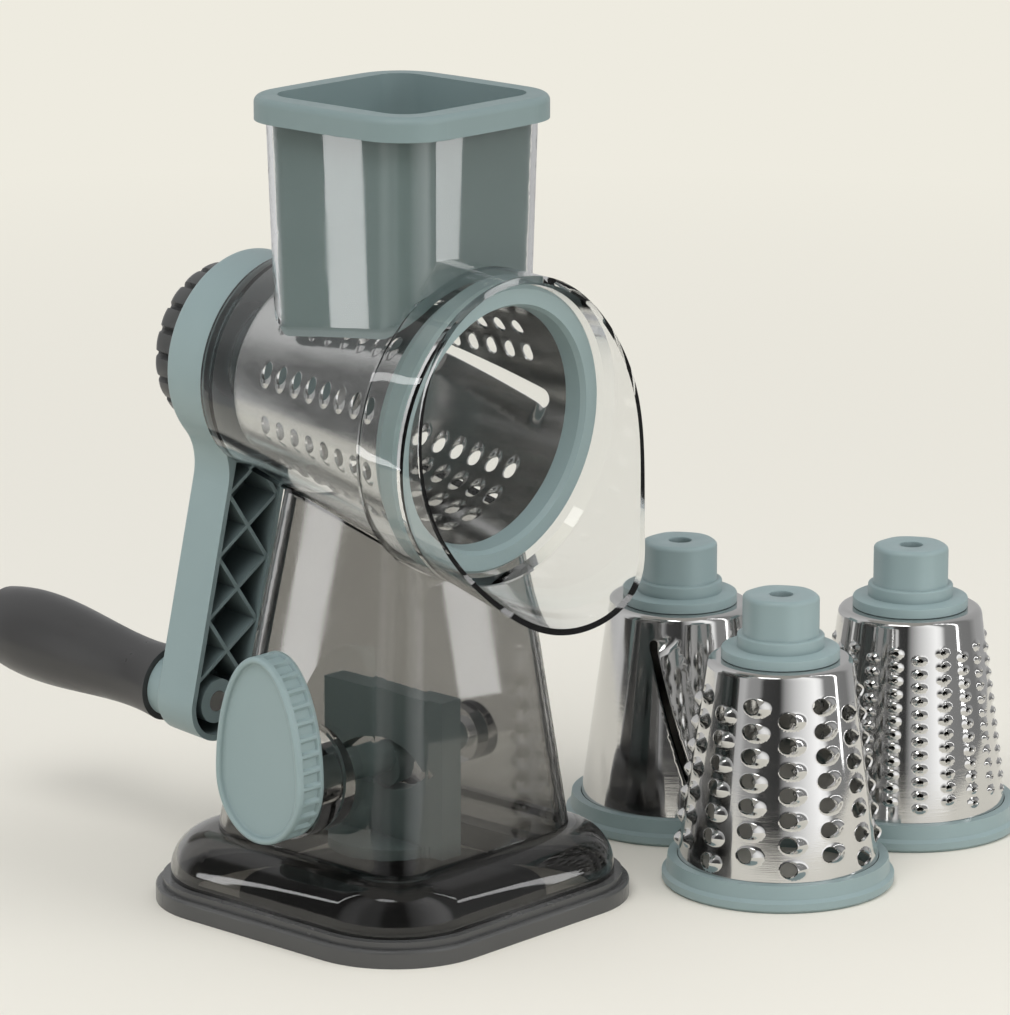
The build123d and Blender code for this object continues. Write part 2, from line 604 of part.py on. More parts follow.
def grip():
    top = HUB_FRONT - HUB_DEPTH - COLLAR_LENGTH - SEAT_GAP
    end = top - GRIP_LENGTH
    side = Spline((GRIP_NECK_RADIUS, top), (GRIP_WAIST_RADIUS, top - GRIP_WAIST), (GRIP_BULB_RADIUS, end + 20),
                  (GRIP_BULB_RADIUS - 2.5, end + 5))
    tip = ThreePointArc((GRIP_BULB_RADIUS - 2.5, end + 5), (GRIP_BULB_RADIUS - 6.5, end + 1.4),
                        (GRIP_BULB_RADIUS - 11, end))
    outline = side + tip + Polyline((GRIP_BULB_RADIUS - 11, end), (0, end), (0, top),
                                    (GRIP_NECK_RADIUS, top))
    body = revolve(Plane.XZ * make_face(outline), Axis.Z)
    bore = rod(PIN_RADIUS + RUN_FIT, end + GRIP_END_WALL - 1, top + 1)
    return CRANK * Pos(0, -CRANK_REACH, 0) * (body - bore)


def lock_knob():
    """The knurled knob with the stud that draws the drum into the crank."""
    top = HUB_FRONT - HUB_DEPTH - SEAT_GAP
    low = top - LOCK_KNOB_DEPTH
    disc = rod(LOCK_KNOB_RADIUS, low, top)
    disc = fillet(disc.edges().group_by(Axis.Z)[0], LOCK_KNOB_EDGE)
    flutes = []
    for index in range(LOCK_KNOB_LOBES):
        flute = Pos(LOCK_KNOB_RADIUS + LOBE_RADIUS * 0.45, 0, 0) * rod(LOBE_RADIUS, low - 1, top + 1)
        flutes.append(Rot(0, 0, 360 / LOCK_KNOB_LOBES * index) * flute)
    disc -= flutes
    disc -= rod(LOCK_KNOB_RADIUS - LOCK_KNOB_RIM, low - 1, low + LOCK_KNOB_EDGE)
    stud = rod(STUD_RADIUS, top - 1, top + STUD_LENGTH)
    return CRANK * (disc + stud)


# ---- Build -------------------------------------------------------------------
os.makedirs("parts", exist_ok=True)
save("base_ring", base_ring())
save("pedestal", pedestal())
save("suction_cup", suction_cup())
save("suction_yoke", yoke())
save("lock_shaft", lock_shaft())
save("lock_cam", lock_cam())
save("suction_knob", suction_knob())
save("barrel_housing", barrel_housing())
save("food_pusher", food_pusher())
save("crank_arm", crank_arm())
save("handle_pin", handle_pin())
save("grip", grip())
save("lock_knob", lock_knob())

drum_slope = (DRUM_BIG_RADIUS - DRUM_SMALL_RADIUS) / (DRUM_LENGTH - DRUM_RING_HEIGHT)
save("shredder_drum_sheet", DRUM * shredder_sheet())
save("shredder_drum_hub", DRUM * drum_hub(DRUM_SMALL_RADIUS, DRUM_LENGTH))
save("shredder_drum_ring", DRUM * drum_ring(DRUM_BIG_RADIUS, DRUM_RING_RADIUS, DRUM_RING_HEIGHT, drum_slope))

spare_slope = (SPARE_BIG_RADIUS - SPARE_SMALL_RADIUS) / (SPARE_LENGTH - SPARE_RING_HEIGHT)
for name, (x, y) in SPARES.items():
    place = Pos(x, y, 0)
    save(f"{name}_sheet", place * drum_sheet(SPARE_SMALL_RADIUS, SPARE_BIG_RADIUS, SPARE_LENGTH, SPARE_RING_HEIGHT))
    save(f"{name}_hub", place * drum_hub(SPARE_SMALL_RADIUS, SPARE_LENGTH))
    save(f"{name}_ring", place * drum_ring(SPARE_BIG_RADIUS, SPARE_RING_RADIUS, SPARE_RING_HEIGHT, spare_slope))
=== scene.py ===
import math

import bpy
import numpy as np
from mathutils import Matrix, Vector
from mathutils.geometry import delaunay_2d_cdt


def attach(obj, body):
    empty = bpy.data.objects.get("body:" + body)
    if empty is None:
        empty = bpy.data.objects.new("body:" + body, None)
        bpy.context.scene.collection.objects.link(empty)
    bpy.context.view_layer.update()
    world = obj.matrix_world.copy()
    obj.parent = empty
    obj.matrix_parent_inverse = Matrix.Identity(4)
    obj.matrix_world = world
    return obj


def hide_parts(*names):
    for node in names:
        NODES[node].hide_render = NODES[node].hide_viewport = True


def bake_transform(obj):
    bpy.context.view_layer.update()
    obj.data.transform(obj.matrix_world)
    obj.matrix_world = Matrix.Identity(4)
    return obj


# Looks of the rotary drum shredder. Everything is in metres in the row frame, apart from
# the drums' sheets, which are worked out in millimetres in each drum's own frame.

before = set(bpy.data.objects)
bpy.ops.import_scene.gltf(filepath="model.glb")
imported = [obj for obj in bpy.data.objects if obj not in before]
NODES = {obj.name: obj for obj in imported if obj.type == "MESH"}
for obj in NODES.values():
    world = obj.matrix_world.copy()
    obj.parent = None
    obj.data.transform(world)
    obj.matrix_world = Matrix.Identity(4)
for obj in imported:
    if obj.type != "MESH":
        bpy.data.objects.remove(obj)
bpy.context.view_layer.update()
MM = 0.001
SHARP = math.radians(40)             # edges over this angle are shaded sharp

AXIS_HEIGHT = 0.1886                 # barrel axis over the origin
TILT = math.radians(4.7)             # the axis dips towards the spout
DRUM_STATION = 0.054                 # front face of the installed drum, along the axis
CAMERA_PLACE = Vector((-1.3909, -1.3255, 0.6202))
CAMERA_AIM = Vector((0.0281, -0.0305, 0.1470))
CAMERA_LENS = 193.07
VIEW_ANGLE = -140.0                  # side of the spare drums that faces the viewer
BACKDROP = (0.855, 0.831, 0.745)


# ---- Camera --------------------------------------------------------------------
def make_camera():
    camera = bpy.data.objects.new("camera", bpy.data.cameras.new("camera"))
    bpy.context.scene.collection.objects.link(camera)
    camera.location = CAMERA_PLACE
    camera.rotation_euler = (CAMERA_AIM - CAMERA_PLACE).to_track_quat("-Z", "Y").to_euler()
    camera.data.lens = CAMERA_LENS
    camera.data.sensor_width = 36.0
    camera.data.sensor_fit = "AUTO"
    camera.data.clip_end = 60.0
    bpy.context.scene.camera = camera


# ---- Node helpers --------------------------------------------------------------
def add(tree, kind, inputs=None, **settings):
    """A shader node with its settings, its inputs set or linked."""
    node = tree.nodes.new("ShaderNode" + kind)
    for key, value in settings.items():
        setattr(node, key, value)
    for key, value in (inputs or {}).items():
        socket = node.inputs[key]
        if isinstance(value, bpy.types.NodeSocket):
            tree.links.new(value, socket)
        else:
            socket.default_value = value
    return node


def math_node(tree, operation, a, b=0.0, clamp=False):
    return add(tree, "Math", {0: a, 1: b}, operation=operation, use_clamp=clamp).outputs[0]


def ramp(tree, source, stops, interpolation="LINEAR"):
    """A colour ramp through (position, grey or colour) stops."""
    node = add(tree, "ValToRGB", {"Fac": source})
    node.color_ramp.interpolation = interpolation
    elements = node.color_ramp.elements
    while len(elements) > 1:
        elements.remove(elements[-1])
    for index, (position, value) in enumerate(stops):
        colour = (value, value, value) if isinstance(value, (int, float)) else value
        element = elements[0] if index == 0 else elements.new(position)
        element.position = position
        element.color = (*colour, 1.0)
    return node.outputs["Color"]


def noise(tree, vector, scale, detail=3.0, roughness=0.5):
    return add(tree, "TexNoise", {"Vector": vector, "Scale": scale, "Detail": detail,
                                  "Roughness": roughness}).outputs["Fac"]


def spread(tree, source, low, high, from_low=0.3, from_high=0.7):
    return add(tree, "MapRange", {"Value": source, "From Min": from_low, "From Max": from_high,
                                  "To Min": low, "To Max": high}).outputs["Result"]


def new_material(name, slot, **sockets):
    """(material, tree, principled shader, object coordinates)"""
    material = bpy.data.materials.new(name)
    material.use_nodes = True
    tree = material.node_tree
    shader = tree.nodes["Principled BSDF"]
    for key, value in sockets.items():
        shader.inputs[key.replace("_", " ")].default_value = value
    place = add(tree, "TexCoord").outputs["Object"]
    material["slot"] = slot
    return material, tree, shader, place


def multiplied(tree, colour, tone):
    """Two colours multiplied; the colour sockets of a Mix node are 6 and 7."""
    return add(tree, "Mix", {0: 1.0, 6: colour, 7: tone}, data_type="RGBA", blend_type="MULTIPLY").outputs[2]


def bump(tree, height, strength, distance, normal=None):
    inputs = {"Height": height, "Strength": strength, "Distance": distance}
    if normal is not None:
        inputs["Normal"] = normal
    return add(tree, "Bump", inputs).outputs["Normal"]


def seen_rays(tree):
    """1 for rays from the camera and those that polished or clear surfaces send on."""
    path = add(tree, "LightPath").outputs
    bounced = math_node(tree, "MAXIMUM", path["Is Glossy Ray"], path["Is Transmission Ray"])
    return math_node(tree, "MAXIMUM", path["Is Camera Ray"], bounced)


def stretched(tree, place, scale):
    return add(tree, "Mapping", {"Vector": place, "Scale": scale}).outputs["Vector"]


# ---- Materials -----------------------------------------------------------------
def moulded_plastic(name, slot, light, dark, gloss, grain=0.02):
    """Satin moulding: cloudy colour with painted shade in narrow pockets, scuffed gloss, fine eroded grain
    and hairline scratches.

    light and dark are the ends of its colour, gloss its mean roughness, grain the bump's strength."""
    material, tree, shader, place = new_material(name, slot, IOR=1.47)
    cloud = noise(tree, place, 14.0, 4.0)
    colour = ramp(tree, cloud, [(0.32, dark), (0.68, light)])
    # painted shade: narrow pockets get a darker base colour from ambient occlusion
    painted_pocket_shade = add(tree, "AmbientOcclusion", {"Distance": 0.03}, samples=4, only_local=True).outputs["AO"]
    colour = multiplied(tree, colour, ramp(tree, painted_pocket_shade, [(0.10, 0.30), (0.62, 1.0)]))
    tree.links.new(colour, shader.inputs["Base Color"])
    scuffs = noise(tree, place, 55.0, 6.0, 0.65)
    tree.links.new(spread(tree, scuffs, gloss - 0.07, gloss + 0.09), shader.inputs["Roughness"])
    grains = noise(tree, place, 2600.0, 2.0)
    hairs = noise(tree, stretched(tree, place, (90.0, 900.0, 260.0)), 4.0, 2.0)
    normal = bump(tree, grains, grain, 0.0002)
    tree.links.new(bump(tree, hairs, grain, 0.0003, normal), shader.inputs["Normal"])
    return material


def steel(name, rough, brush, tone):
    """Polished sheet steel, its finest brush marks running round the drum."""
    material, tree, shader, place = new_material(name, "polished_steel", Metallic=1.0)
    cloud = noise(tree, place, 22.0, 4.0)
    dull = (tone * 0.95, tone * 0.945, tone * 0.93)
    bright = (tone, tone * 0.995, tone * 0.985)
    tree.links.new(ramp(tree, cloud, [(0.3, dull), (0.7, bright)]), shader.inputs["Base Color"])
    smears = noise(tree, stretched(tree, place, (18.0, 18.0, 70.0)), 3.0, 5.0, 0.6)
    tree.links.new(spread(tree, smears, rough * 0.75, rough * 1.35), shader.inputs["Roughness"])
    marks = noise(tree, stretched(tree, place, (30.0, 30.0, 5200.0)), 1.0, 2.0)
    tree.links.new(bump(tree, marks, brush, 0.0001), shader.inputs["Normal"])
    return material


def see_through(name, slot, light, dark, smooth, shadow, foot=None):
    """Clear or smoky moulding; light passes it on its way to what stands inside.

    smooth is its mean roughness and shadow the share of its colour that its own shadow keeps. foot is
    the (height, height, tone) over which the moulding's colour gets darker downwards."""
    material, tree, shader, place = new_material(name, slot, IOR=1.49, **{"Transmission_Weight": 1.0})
    cloud = noise(tree, place, 9.0, 3.0)
    colour = ramp(tree, cloud, [(0.3, dark), (0.7, light)])
    if foot:
        height = add(tree, "SeparateXYZ", {0: place}).outputs["Z"]
        share = spread(tree, height, 0.0, 1.0, foot[0], foot[1])
        tone = ramp(tree, share, [(0.0, foot[2]), (1.0, 1.0)], "EASE")
        colour = multiplied(tree, colour, tone)
    tree.links.new(colour, shader.inputs["Base Color"])
    smears = noise(tree, place, 30.0, 5.0, 0.6)
    tree.links.new(spread(tree, smears, smooth * 0.5, smooth * 1.6), shader.inputs["Roughness"])
    flow = noise(tree, place, 20.0, 2.0)
    tree.links.new(bump(tree, flow, 0.02, 0.0006), shader.inputs["Normal"])
    out = tree.nodes["Material Output"]
    clear = add(tree, "BsdfTransparent", {"Color": (*[shadow * c for c in light], 1.0)})
    path = add(tree, "LightPath")
    mix = add(tree, "MixShader", {0: path.outputs["Is Shadow Ray"], 1: shader.outputs[0],
                                  2: clear.outputs[0]})
    tree.links.new(mix.outputs[0], out.inputs["Surface"])
    return material


def make_materials():
    teal, dark, rubber = "teal_plastic", "dark_plastic", "black_rubber"
    return {
        "teal": moulded_plastic("teal_satin", teal, (0.278, 0.362, 0.366), (0.256, 0.336, 0.340), 0.36),
        # painted shade: the pusher is the same teal plastic, given a darker copy of its colour for the shade
        # it sits in inside the chute
        "pusher": moulded_plastic("teal_pusher_painted_shade", teal, (0.212, 0.282, 0.282), (0.195, 0.260, 0.260), 0.40,
                                  0.03),
        "dark": moulded_plastic("dark_moulding", dark, (0.070, 0.071, 0.070), (0.055, 0.056, 0.055), 0.30),
        "grip": moulded_plastic("grip_moulding", dark, (0.050, 0.049, 0.049), (0.040, 0.039, 0.039), 0.32),
        "base": moulded_plastic("base_moulding", dark, (0.080, 0.080, 0.079), (0.070, 0.070, 0.069), 0.20,
                                0.004),
        "rubber": moulded_plastic("rubber_moulding", rubber, (0.050,) * 3, (0.040,) * 3, 0.5, 0.05),
        "steel": steel("spare_drum_steel", 0.07, 0.05, 0.66),
        "drum_steel": steel("installed_drum_steel", 0.17, 0.12, 0.70),
        "rod_steel": steel("turned_steel", 0.16, 0.10, 0.78),
        "clear": see_through("clear_moulding", "clear_plastic", (0.955, 0.962, 0.960), (0.940, 0.950, 0.948),
                             0.02, 0.9),
        "smoky": see_through("smoky_moulding", "smoky_plastic", (0.54, 0.535, 0.525), (0.50, 0.495, 0.485),
                             0.03, 1.5, foot=(0.026, 0.037, 0.55)),
    }


def finish(node, material):
    """The CAD node keeps its shape and takes a material."""
    item = NODES[node]
    item.data.materials.clear()
    item.data.materials.append(material)


# ---- Mesh helpers --------------------------------------------------------------
def piece(name, verts, faces, material, body, nodes, normals=None):
    """A piece that rides on a body and stands for CAD nodes."""
    mesh = bpy.data.meshes.new(name)
    mesh.from_pydata([tuple(v) for v in verts], [], faces)
    mesh.update()
    mesh.shade_smooth()
    if normals is not None:
        mesh.normals_split_custom_set_from_vertices([tuple(n) for n in normals])
    mesh.materials.append(material)
    item = bpy.data.objects.new(name, mesh)
    bpy.context.scene.collection.objects.link(item)
    if body:
        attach(item, body)
    if nodes:
        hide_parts(*nodes)
    return item


def ring_faces(rows, count):
    """Faces between rings of count points each, with both ends capped."""
    faces = []
    for row in range(rows - 1):
        for step in range(count):
            a, b = row * count + step, row * count + (step + 1) % count
            faces.append((a, b, b + count, a + count))
    last = (rows - 1) * count
    return faces + [tuple(range(count - 1, -1, -1)), tuple(range(last, last + count))]


def lathe(profile, segments):
    """(verts, faces) of a closed (radius, height) outline turned about Z."""
    verts, faces = [], []
    count = len(profile)
    for step in range(segments):
        angle = 2 * math.pi * step / segments
        verts += [(r * math.cos(angle), r * math.sin(angle), z) for r, z in profile]
    for step in range(segments):
        here, there = step * count, (step + 1) % segments * count
        for i in range(count):
            j = (i + 1) % count
            faces.append((here + i, there + i, there + j, here + j))
    return verts, faces


# ---- Drum sheets ---------------------------------------------------------------
SHEET = 0.8                          # thickness, in millimetres like all sizes of the sheets
EYE_RADIUS = 18.05                   # opening round the hub's neck
SHOULDER = 3.0                       # radius of the rolled-in edge
SHEET_LAP = 3.95                     # length of sheet inside the ring


class Cone:
    """The outside of a drum's sheet: a cone, its rolled-in shoulder and its flat end.

    Points are (angle in degrees, distance up the outline from the wide end, height of a raised form)."""

    def __init__(self, small_radius, big_radius, length, ring_height):
        self.low = ring_height - SHEET_LAP
        self.foot = big_radius - (big_radius - small_radius) / (length - ring_height) * self.low
        self.lean = math.atan2(self.foot - small_radius, length - self.low)
        self.turn = math.pi / 2 - self.lean
        tangent = SHOULDER * math.tan(self.turn / 2)
        self.straight = (length - self.low) / math.cos(self.lean) - tangent
        self.arc = SHOULDER * self.turn
        self.flat = small_radius - tangent - EYE_RADIUS
        self.mean = (small_radius + big_radius) / 2

    def up(self, height):
        """Distance up the outline of a height above the drum's front face."""
        return (height - self.low) / math.cos(self.lean)

    def radius(self, height):
        return self.foot - (height - self.low) * math.tan(self.lean)

    def points(self, angle, up, raised):
        sin, cos = math.sin(self.lean), math.cos(self.lean)
        on_arc = np.clip((up - self.straight) / SHOULDER, 0, self.turn)
        along = np.minimum(up, self.straight)
        flat = np.maximum(up - self.straight - self.arc, 0)
        # the shoulder's centre line, then the point turned round it
        start_r = self.foot - self.straight * sin - SHOULDER * cos
        start_z = self.low + self.straight * cos - SHOULDER * sin
        turned_r = start_r + SHOULDER * np.cos(self.lean + on_arc)
        turned_z = start_z + SHOULDER * np.sin(self.lean + on_arc)
        straight_r = self.foot - along * sin
        straight_z = self.low + along * cos
        bent = up > self.straight
        r = np.where(bent, turned_r - flat, straight_r) + raised * cos
        z = np.where(bent, turned_z, straight_z) + raised * sin
        phi = np.radians(angle)
        return np.stack([r * np.cos(phi), r * np.sin(phi), z], axis=-1)


def ellipse(centre, half_width, half_height, count):
    """Points round an oval."""
    steps = 2 * np.pi * np.arange(count) / count
    return np.stack([centre[0] + half_width * np.cos(steps),
                     centre[1] + half_height * np.sin(steps)], axis=-1)


# What counts as inside a hole's outline, a little less than 1 so that no edge triangle is lost
INSIDE_OVAL, INSIDE_SLOT = 0.985, 0.99
# Shares of the way from a hole's edge to its foot, and distances from a slot's edge in millimetres,
# at which the mesh gets a ring of points
OVAL_RINGS = (0.12, 0.3, 0.5, 0.7, 0.88)
SLOT_RINGS = (0.6, 1.4, 2.4, 3.6, 5.0, 7.0, 9.5)


class Punched:
    """One punched and raised hole, drawn flat: X around the drum, Y up the outline.

    foot and opening are the half widths and half heights of the raised form and of its hole, offset
    is the hole's distance along X from the middle, and fine is the number of points round it."""

    def __init__(self, foot, opening, offset, height, fine, lift="dome"):
        self.foot, self.opening, self.offset = foot, opening, offset
        self.height, self.fine, self.lift = height, fine, lift
        self.reach = max(foot) + 1

    def raised(self, x, y):
        rho = (x / self.foot[0]) ** 2 + (y / self.foot[1]) ** 2
        dome = np.clip(1 - rho, 0, 1) ** 2
        if self.lift == "dome":
            return self.height * dome
        # a scoop: the side away from the opening is raised, the other pressed in a little
        side = np.clip(-x * math.copysign(1, self.offset) / self.foot[0] + 0.35, -0.4, 1)
        return self.height * np.clip(1 - rho, 0, 1) ** 1.2 * side

    def hole(self):
        return ellipse((self.offset, 0), *self.opening, self.fine)

    def holds(self, x, y):
        return ((x - self.offset) / self.opening[0]) ** 2 + (y / self.opening[1]) ** 2 < INSIDE_OVAL

    def guides(self):
        """Points that carry the raised form between the hole and its foot."""
        rings = []
        for share in OVAL_RINGS:
            centre = (self.offset * (1 - share), 0)
            sizes = [o + (f - o) * share for o, f in zip(self.opening, self.foot)]
            rings.append(ellipse(centre, *sizes, self.fine))
        rings.append(ellipse((0, 0), *self.foot, self.fine))
        rings.append(ellipse((0, 0), self.foot[0] + 0.5, self.foot[1] + 0.4, self.fine))
        return np.concatenate(rings)


class Slot:
    """One long round-ended slot with a raised blade along one side.

    The blade falls back to the sheet over fade, and towards the slot's ends over end_fade."""

    def __init__(self, span, width, slant, height, fade, end_fade, taper=0.0):
        self.span, self.width, self.height = span, width, height
        self.fade, self.end_fade, self.taper = fade, end_fade, taper
        self.cos, self.sin = math.cos(slant), math.sin(slant)
        self.side = (abs(self.sin), -self.cos if self.sin > 0 else self.cos)
        self.reach = span / 2 + width + fade

    def local(self, x, y):
        """(along the slot, across it towards the blade)"""
        return x * self.cos + y * self.sin, x * self.side[0] + y * self.side[1]

    def half(self, along):
        """Half the opening's width, less towards its lower end where it tapers."""
        share = np.clip(along / self.span + 0.5, 0, 1)
        return self.width / 2 * (1 - self.taper * (1 - share))

    def raised(self, x, y):
        along, across = self.local(x, y)
        half = self.width / 2
        rise = np.clip((across + half) / self.width, 0, 1)
        rise = rise * rise * (3 - 2 * rise)
        fall = np.clip(1 - (across - half) / self.fade, 0, 1)
        ends = np.clip((self.span / 2 + half + 0.5 - np.abs(along)) / self.end_fade, 0, 1)
        return self.height * rise * np.where(across > half, fall, 1) * ends * ends * (3 - 2 * ends)

    def outline(self, out=0.0):
        steps = np.radians(np.linspace(-90, 90, 13))
        low_half, high_half = self.half(np.array([-self.span / 2, self.span / 2]))
        end, high, low = self.span / 2, high_half + out, low_half + out
        head = [(end + high * math.cos(s), high * math.sin(s)) for s in steps]
        tail = [(-end - low * math.cos(s), -low * math.sin(s)) for s in steps]
        shares = np.linspace(0, 1, 26)[1:-1]
        up = [tuple(np.array(head[-1]) * (1 - s) + np.array(tail[0]) * s) for s in shares]
        down = [tuple(np.array(tail[-1]) * (1 - s) + np.array(head[0]) * s) for s in shares]
        along, across = np.array(head + up + tail + down).T
        return np.stack([along * self.cos + across * self.side[0],
                         along * self.sin + across * self.side[1]], axis=-1)

    def hole(self):
        return self.outline()

    def holds(self, x, y):
        along, across = self.local(x, y)
        beyond = np.maximum(np.abs(along) - self.span / 2, 0)
        return np.hypot(beyond, across) < self.half(along) * INSIDE_SLOT

    def guides(self):
        return np.concatenate([self.outline(out) for out in SLOT_RINGS])


COLUMNS = 144                        # plain columns and rows of points on the sheet
ROWS = 27
PROBE = 0.02                         # step over which a normal is measured
CLEAR = (0.5, 0.2)                   # rings of points stay this far from the sheet's foot and shoulder


def near_form(form, x, y):
    return (np.abs(x) < form.reach) & (np.abs(y) < form.reach)


def flat_points(cone, wide, forms):
    """(points, edges) of the sheet unrolled: the holes, the rings round them and plain columns."""
    top = cone.straight + cone.arc + cone.flat
    levels = [*np.linspace(0, cone.straight, ROWS),
              *(cone.straight + cone.arc * share for share in (0.25, 0.5, 0.75, 1.0)),
              top - cone.flat * 0.5, top]
    points, edges = [], []
    for u, v, stretch, form in forms:
        loop = form.hole()
        first, count = len(points), len(loop)
        points += [(u + x * stretch, v + y) for x, y in loop]
        edges += [(first + i, first + (i + 1) % count) for i in range(count)]
    for u, v, stretch, form in forms:
        for x, y in form.guides():
            if not form.holds(x, y) and CLEAR[0] < v + y < cone.straight - CLEAR[1]:
                points.append((u + x * stretch, v + y))
    count = len(levels)
    for column in (0, COLUMNS):
        start = len(points) + column * count
        edges += [(start + i, start + i + 1) for i in range(count - 1)]
    points += [(wide * column / COLUMNS, level) for column in range(COLUMNS + 1) for level in levels]
    return points, edges, top


def thickened(outer, normals, triangles):
    """(verts, faces, normals) of a closed sheet, its wall on the inside and its edges walled up."""
    inner = outer - normals * SHEET
    number = len(outer)
    verts = [*outer, *inner]
    all_normals = [*normals, *-normals]
    faces = [tuple(t) for t in triangles] + [(t[0] + number, t[2] + number, t[1] + number) for t in triangles]
    sides = dict.fromkeys(edge for a, b, c in triangles for edge in ((a, b), (b, c), (c, a)))
    for a, b in sides:
        if (b, a) not in sides:
            corners = [outer[b], outer[a], inner[a], inner[b]]
            face_normal = np.cross(corners[1] - corners[0], corners[2] - corners[0])
            face_normal /= max(np.linalg.norm(face_normal), 1e-9)
            start = len(verts)
            verts += corners
            all_normals += [face_normal] * 4
            faces.append((start, start + 1, start + 2, start + 3))
    return np.array(verts), [tuple(int(i) for i in f) for f in faces], np.array(all_normals)


def sheet_mesh(cone, seam, holes):
    """(verts, faces, normals) of the sheet in the drum's own frame, in millimetres.

    holes is a list of (angle, height, form). The seam is an angle with plain sheet on both sides."""
    wide = cone.mean * 2 * math.pi
    per_degree = wide / 360
    # on the cone a millimetre around spans more degrees where the drum is narrower
    forms = [(((angle - seam) % 360) * per_degree, cone.up(height), cone.mean / cone.radius(height), form)
             for angle, height, form in holes]
    points, edges, top = flat_points(cone, wide, forms)
    flat, _, triangles, _, _, _ = delaunay_2d_cdt([Vector(p) for p in points], edges, [], 0, 1e-4)
    flat = np.array([tuple(p) for p in flat])
    triangles = np.array([tuple(t) for t in triangles])
    centre = flat[triangles].mean(axis=1)
    keep = np.ones(len(triangles), bool)
    for u, v, stretch, form in forms:
        x, y = (centre[:, 0] - u) / stretch, centre[:, 1] - v
        near = near_form(form, x, y)
        keep[near] &= ~form.holds(x[near], y[near])
    triangles = triangles[keep]

    def raised(u, v):
        total = np.zeros_like(u)
        for cu, cv, stretch, form in forms:
            x, y = (u - cu) / stretch, v - cv
            near = near_form(form, x, y)
            if near.any():
                part = form.raised(x[near], y[near])
                total[near] = np.where(np.abs(part) > np.abs(total[near]), part, total[near])
        return total * (v < cone.straight)

    def place(u, v):
        return cone.points(u / per_degree + seam, v, raised(u, v))

    u, v = flat[:, 0], flat[:, 1]
    around = place(u + PROBE, v) - place(u - PROBE, v)
    upward = place(u, np.minimum(v + PROBE, top)) - place(u, np.maximum(v - PROBE, 0.0))
    normals = np.cross(around, upward)
    normals /= np.linalg.norm(normals, axis=1, keepdims=True)
    # one vertex for both sides of the seam
    order = {}
    same = np.arange(len(flat))
    for index in np.nonzero((u < 1e-3) | (u > wide - 1e-3))[0]:
        same[index] = order.setdefault(round(float(v[index]), 3), index)
    used, triangles = np.unique(same[triangles], return_inverse=True)
    return thickened(place(u, v)[used], normals[used], triangles.reshape(-1, 3))


def drum_place():
    """The installed drum's frame: its front face at z = 0, Z towards the crank, X along +X."""
    sin, cos = math.sin(TILT), math.cos(TILT)
    back = Vector((0, cos, sin))
    side = Vector((1, 0, 0))
    up = back.cross(side)
    turn = Matrix((side, up, back)).transposed().to_4x4()
    return Matrix.Translation(Vector((0, 0, AXIS_HEIGHT)) - back * DRUM_STATION) @ turn


def sheet_piece(name, place, cone, seam, holes, material, body, node):
    verts, faces, normals = sheet_mesh(cone, seam, holes)
    turn = np.array(place.to_3x3())
    shift = np.array(place.translation)
    verts = verts * MM @ turn.T + shift
    normals = normals @ turn.T
    return piece(name, verts, faces, material, body, [node], normals)


# (radius at the hub, radius at the ring, length, height of the ring)
INSTALLED = (34.5, 45.6, 100.0, 12.0)
SPARE = (27.2, 38.9, 86.0, 8.5)
SPARE_SPOTS = {"slicer_drum": (0.1465, -0.0132), "coarse_drum": (0.1099, -0.0936),
               "fine_drum": (0.2005, -0.0830)}
KNOB_STATION = 0.0919                # outer face of the knurled knob behind the axis' origin
# Rows of the installed drum, by their angle from the top; next to the slot one row has fewer holes
ROW_ANGLES = [-140, -109.5, -78, -46.5, -15, 16.5, 47.5, 64.5, 127, 144.5, 161, 178]
ROW_HOLES, ROW_START, ROW_PITCH = 8, 23.4, 8.2
SHORT_ROW, SHORT_ROW_HOLES = 64.5, 5
INSTALLED_SEAM = -161                # between two rows
FROM_TOP = -90                       # the drum's own angle 0 is on its side, not on top


def slot_form(cone, ends, width, **settings):
    """(angle, height, form) of a slot between two (height, angle) ends."""
    (low, low_angle), (high, high_angle) = ends
    middle = (low + high) / 2
    swing = math.radians(high_angle - low_angle) * cone.radius(middle)
    rise = cone.up(high) - cone.up(low)
    return (low_angle + high_angle) / 2, middle, Slot(
        math.hypot(rise, swing), width, math.atan2(rise, swing), **settings)


def make_drums(materials):
    """The four sheets, with scoops, a slicing slot, domes or points on them."""
    cone = Cone(*INSTALLED)
    scoop = Punched((5.2, 2.9), (3.3, 2.35), 1.3, 1.5, 28, "scoop")
    holes = [(angle + FROM_TOP, ROW_START + ROW_PITCH * index, scoop) for angle in ROW_ANGLES
             for index in range(SHORT_ROW_HOLES if angle == SHORT_ROW else ROW_HOLES)]
    angle, height, blade = slot_form(cone, [(19.0, 89.5), (66.0, 74.0)], 7.4,
                                     height=3.0, fade=9.0, end_fade=8.0)
    holes.append((angle + FROM_TOP, height, blade))
    sheet_piece("shredding_sheet", drum_place(), cone, INSTALLED_SEAM + FROM_TOP, holes,
                materials["drum_steel"], "shredder_drum", "shredder_drum_sheet")

    cone = Cone(*SPARE)
    angle, height, blade = slot_form(cone, [(20.0, 9.0), (75.0, -19.0)], 4.4,
                                     height=3.6, fade=9.0, end_fade=6.0, taper=0.55)
    coarse = Punched((5.8, 3.8), (3.2, 3.0), -2.0, 2.4, 28)
    fine = Punched((3.5, 2.25), (1.25, 0.95), 0.0, 1.2, 16)
    forms = {
        "slicer_drum": (180.0, [(VIEW_ANGLE + angle, height, blade)]),
        "coarse_drum": staggered(coarse, 14, 7, 9.1, 14.8),
        "fine_drum": staggered(fine, 20, 12, 5.1, 15.6),
    }
    for name, (seam, holes) in forms.items():
        place = Matrix.Translation((*SPARE_SPOTS[name], 0.0))
        sheet_piece(name.replace("drum", "sheet"), place, cone, VIEW_ANGLE + seam, holes,
                    materials["steel"], name, name + "_sheet")


